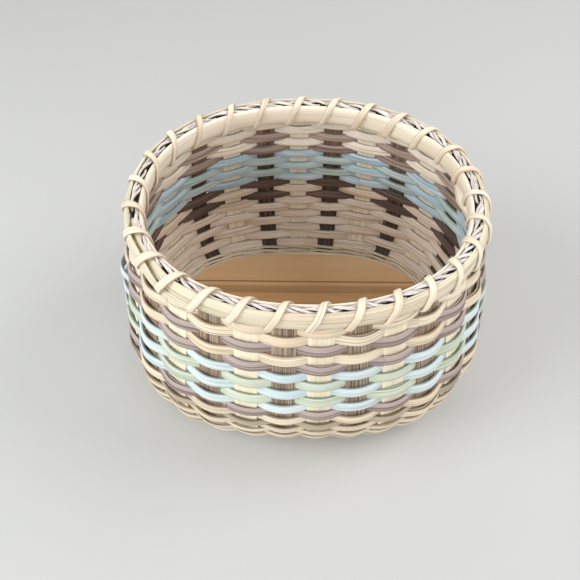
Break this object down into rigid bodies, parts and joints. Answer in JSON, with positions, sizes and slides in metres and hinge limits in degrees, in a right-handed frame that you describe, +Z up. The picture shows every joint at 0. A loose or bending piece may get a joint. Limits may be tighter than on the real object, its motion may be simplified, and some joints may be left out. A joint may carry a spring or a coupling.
{
  "type": "berry basket",
  "caption": "Handwoven oval reed basket on a wooden base board, bulging in the middle, open at the top, with a banded rim laced over a cord.",
  "frame": {"origin": "middle of the base board's underside, the plane the basket stands on", "axes": "+Z up through the open top, +X along the oval's long axis, -Y towards the side where the spokes stand closest"},
  "size_m": [0.2253, 0.1954, 0.1433],
  "materials": {
    "natural_spoke": "natural flat reed, fine upright grain",
    "smoked_spoke": "smoked flat reed, grey-brown, fine upright grain",
    "natural_reed": "natural flat oval reed, smooth, faintly ribbed",
    "smoked_reed": "smoked flat oval reed, mauve-brown",
    "blue_reed": "pale blue dyed flat oval reed",
    "sage_reed": "pale sage dyed flat oval reed",
    "rim_reed": "cream half-round and flat oval reed, smooth",
    "filler_cord": "twisted plant-fibre cord, matt",
    "base_wood": "golden-brown board, clear satin finish"
  },
  "bodies": {
    "root": {"base_board": "base_wood", "spoke_01": "smoked_spoke", "spoke_02": "natural_spoke", "spoke_03": "smoked_spoke", "spoke_04": "natural_spoke", "spoke_05": "smoked_spoke", "spoke_06": "natural_spoke", "spoke_07": "smoked_spoke", "spoke_08": "natural_spoke", "spoke_09": "smoked_spoke", "spoke_10": "natural_spoke", "spoke_11": "smoked_spoke", "spoke_12": "natural_spoke", "spoke_13": "smoked_spoke", "spoke_14": "natural_spoke", "spoke_15": "smoked_spoke", "spoke_16": "natural_spoke", "spoke_17": "smoked_spoke", "spoke_18": "natural_spoke", "spoke_19": "smoked_spoke", "spoke_20": "natural_spoke", "spoke_21": "smoked_spoke", "spoke_22": "natural_spoke", "spoke_23": "smoked_spoke", "spoke_24": "natural_spoke", "spoke_25": "smoked_spoke", "spoke_26": "natural_spoke", "spoke_27": "smoked_spoke", "spoke_28": "natural_spoke", "weaver_01": "natural_reed", "weaver_02": "natural_reed", "weaver_03": "smoked_reed", "weaver_04": "natural_reed", "weaver_05": "smoked_reed", "weaver_06": "blue_reed", "weaver_07": "sage_reed", "weaver_08": "blue_reed", "weaver_09": "sage_reed", "weaver_10": "blue_reed", "weaver_11": "smoked_reed", "weaver_12": "natural_reed", "weaver_13": "smoked_reed", "weaver_14": "natural_reed", "weaver_15": "natural_reed", "weaver_16": "natural_reed", "weaver_17": "natural_reed", "weaver_18": "natural_reed", "weaver_19": "natural_reed", "weaver_20": "natural_reed", "base_row_1": "natural_reed", "base_row_2": "natural_reed", "rim_row": "natural_reed", "rim_outer": "rim_reed", "rim_inner": "rim_reed", "rim_filler": "filler_cord", "rim_lacing": "rim_reed"}
  },
  "joints": []
}
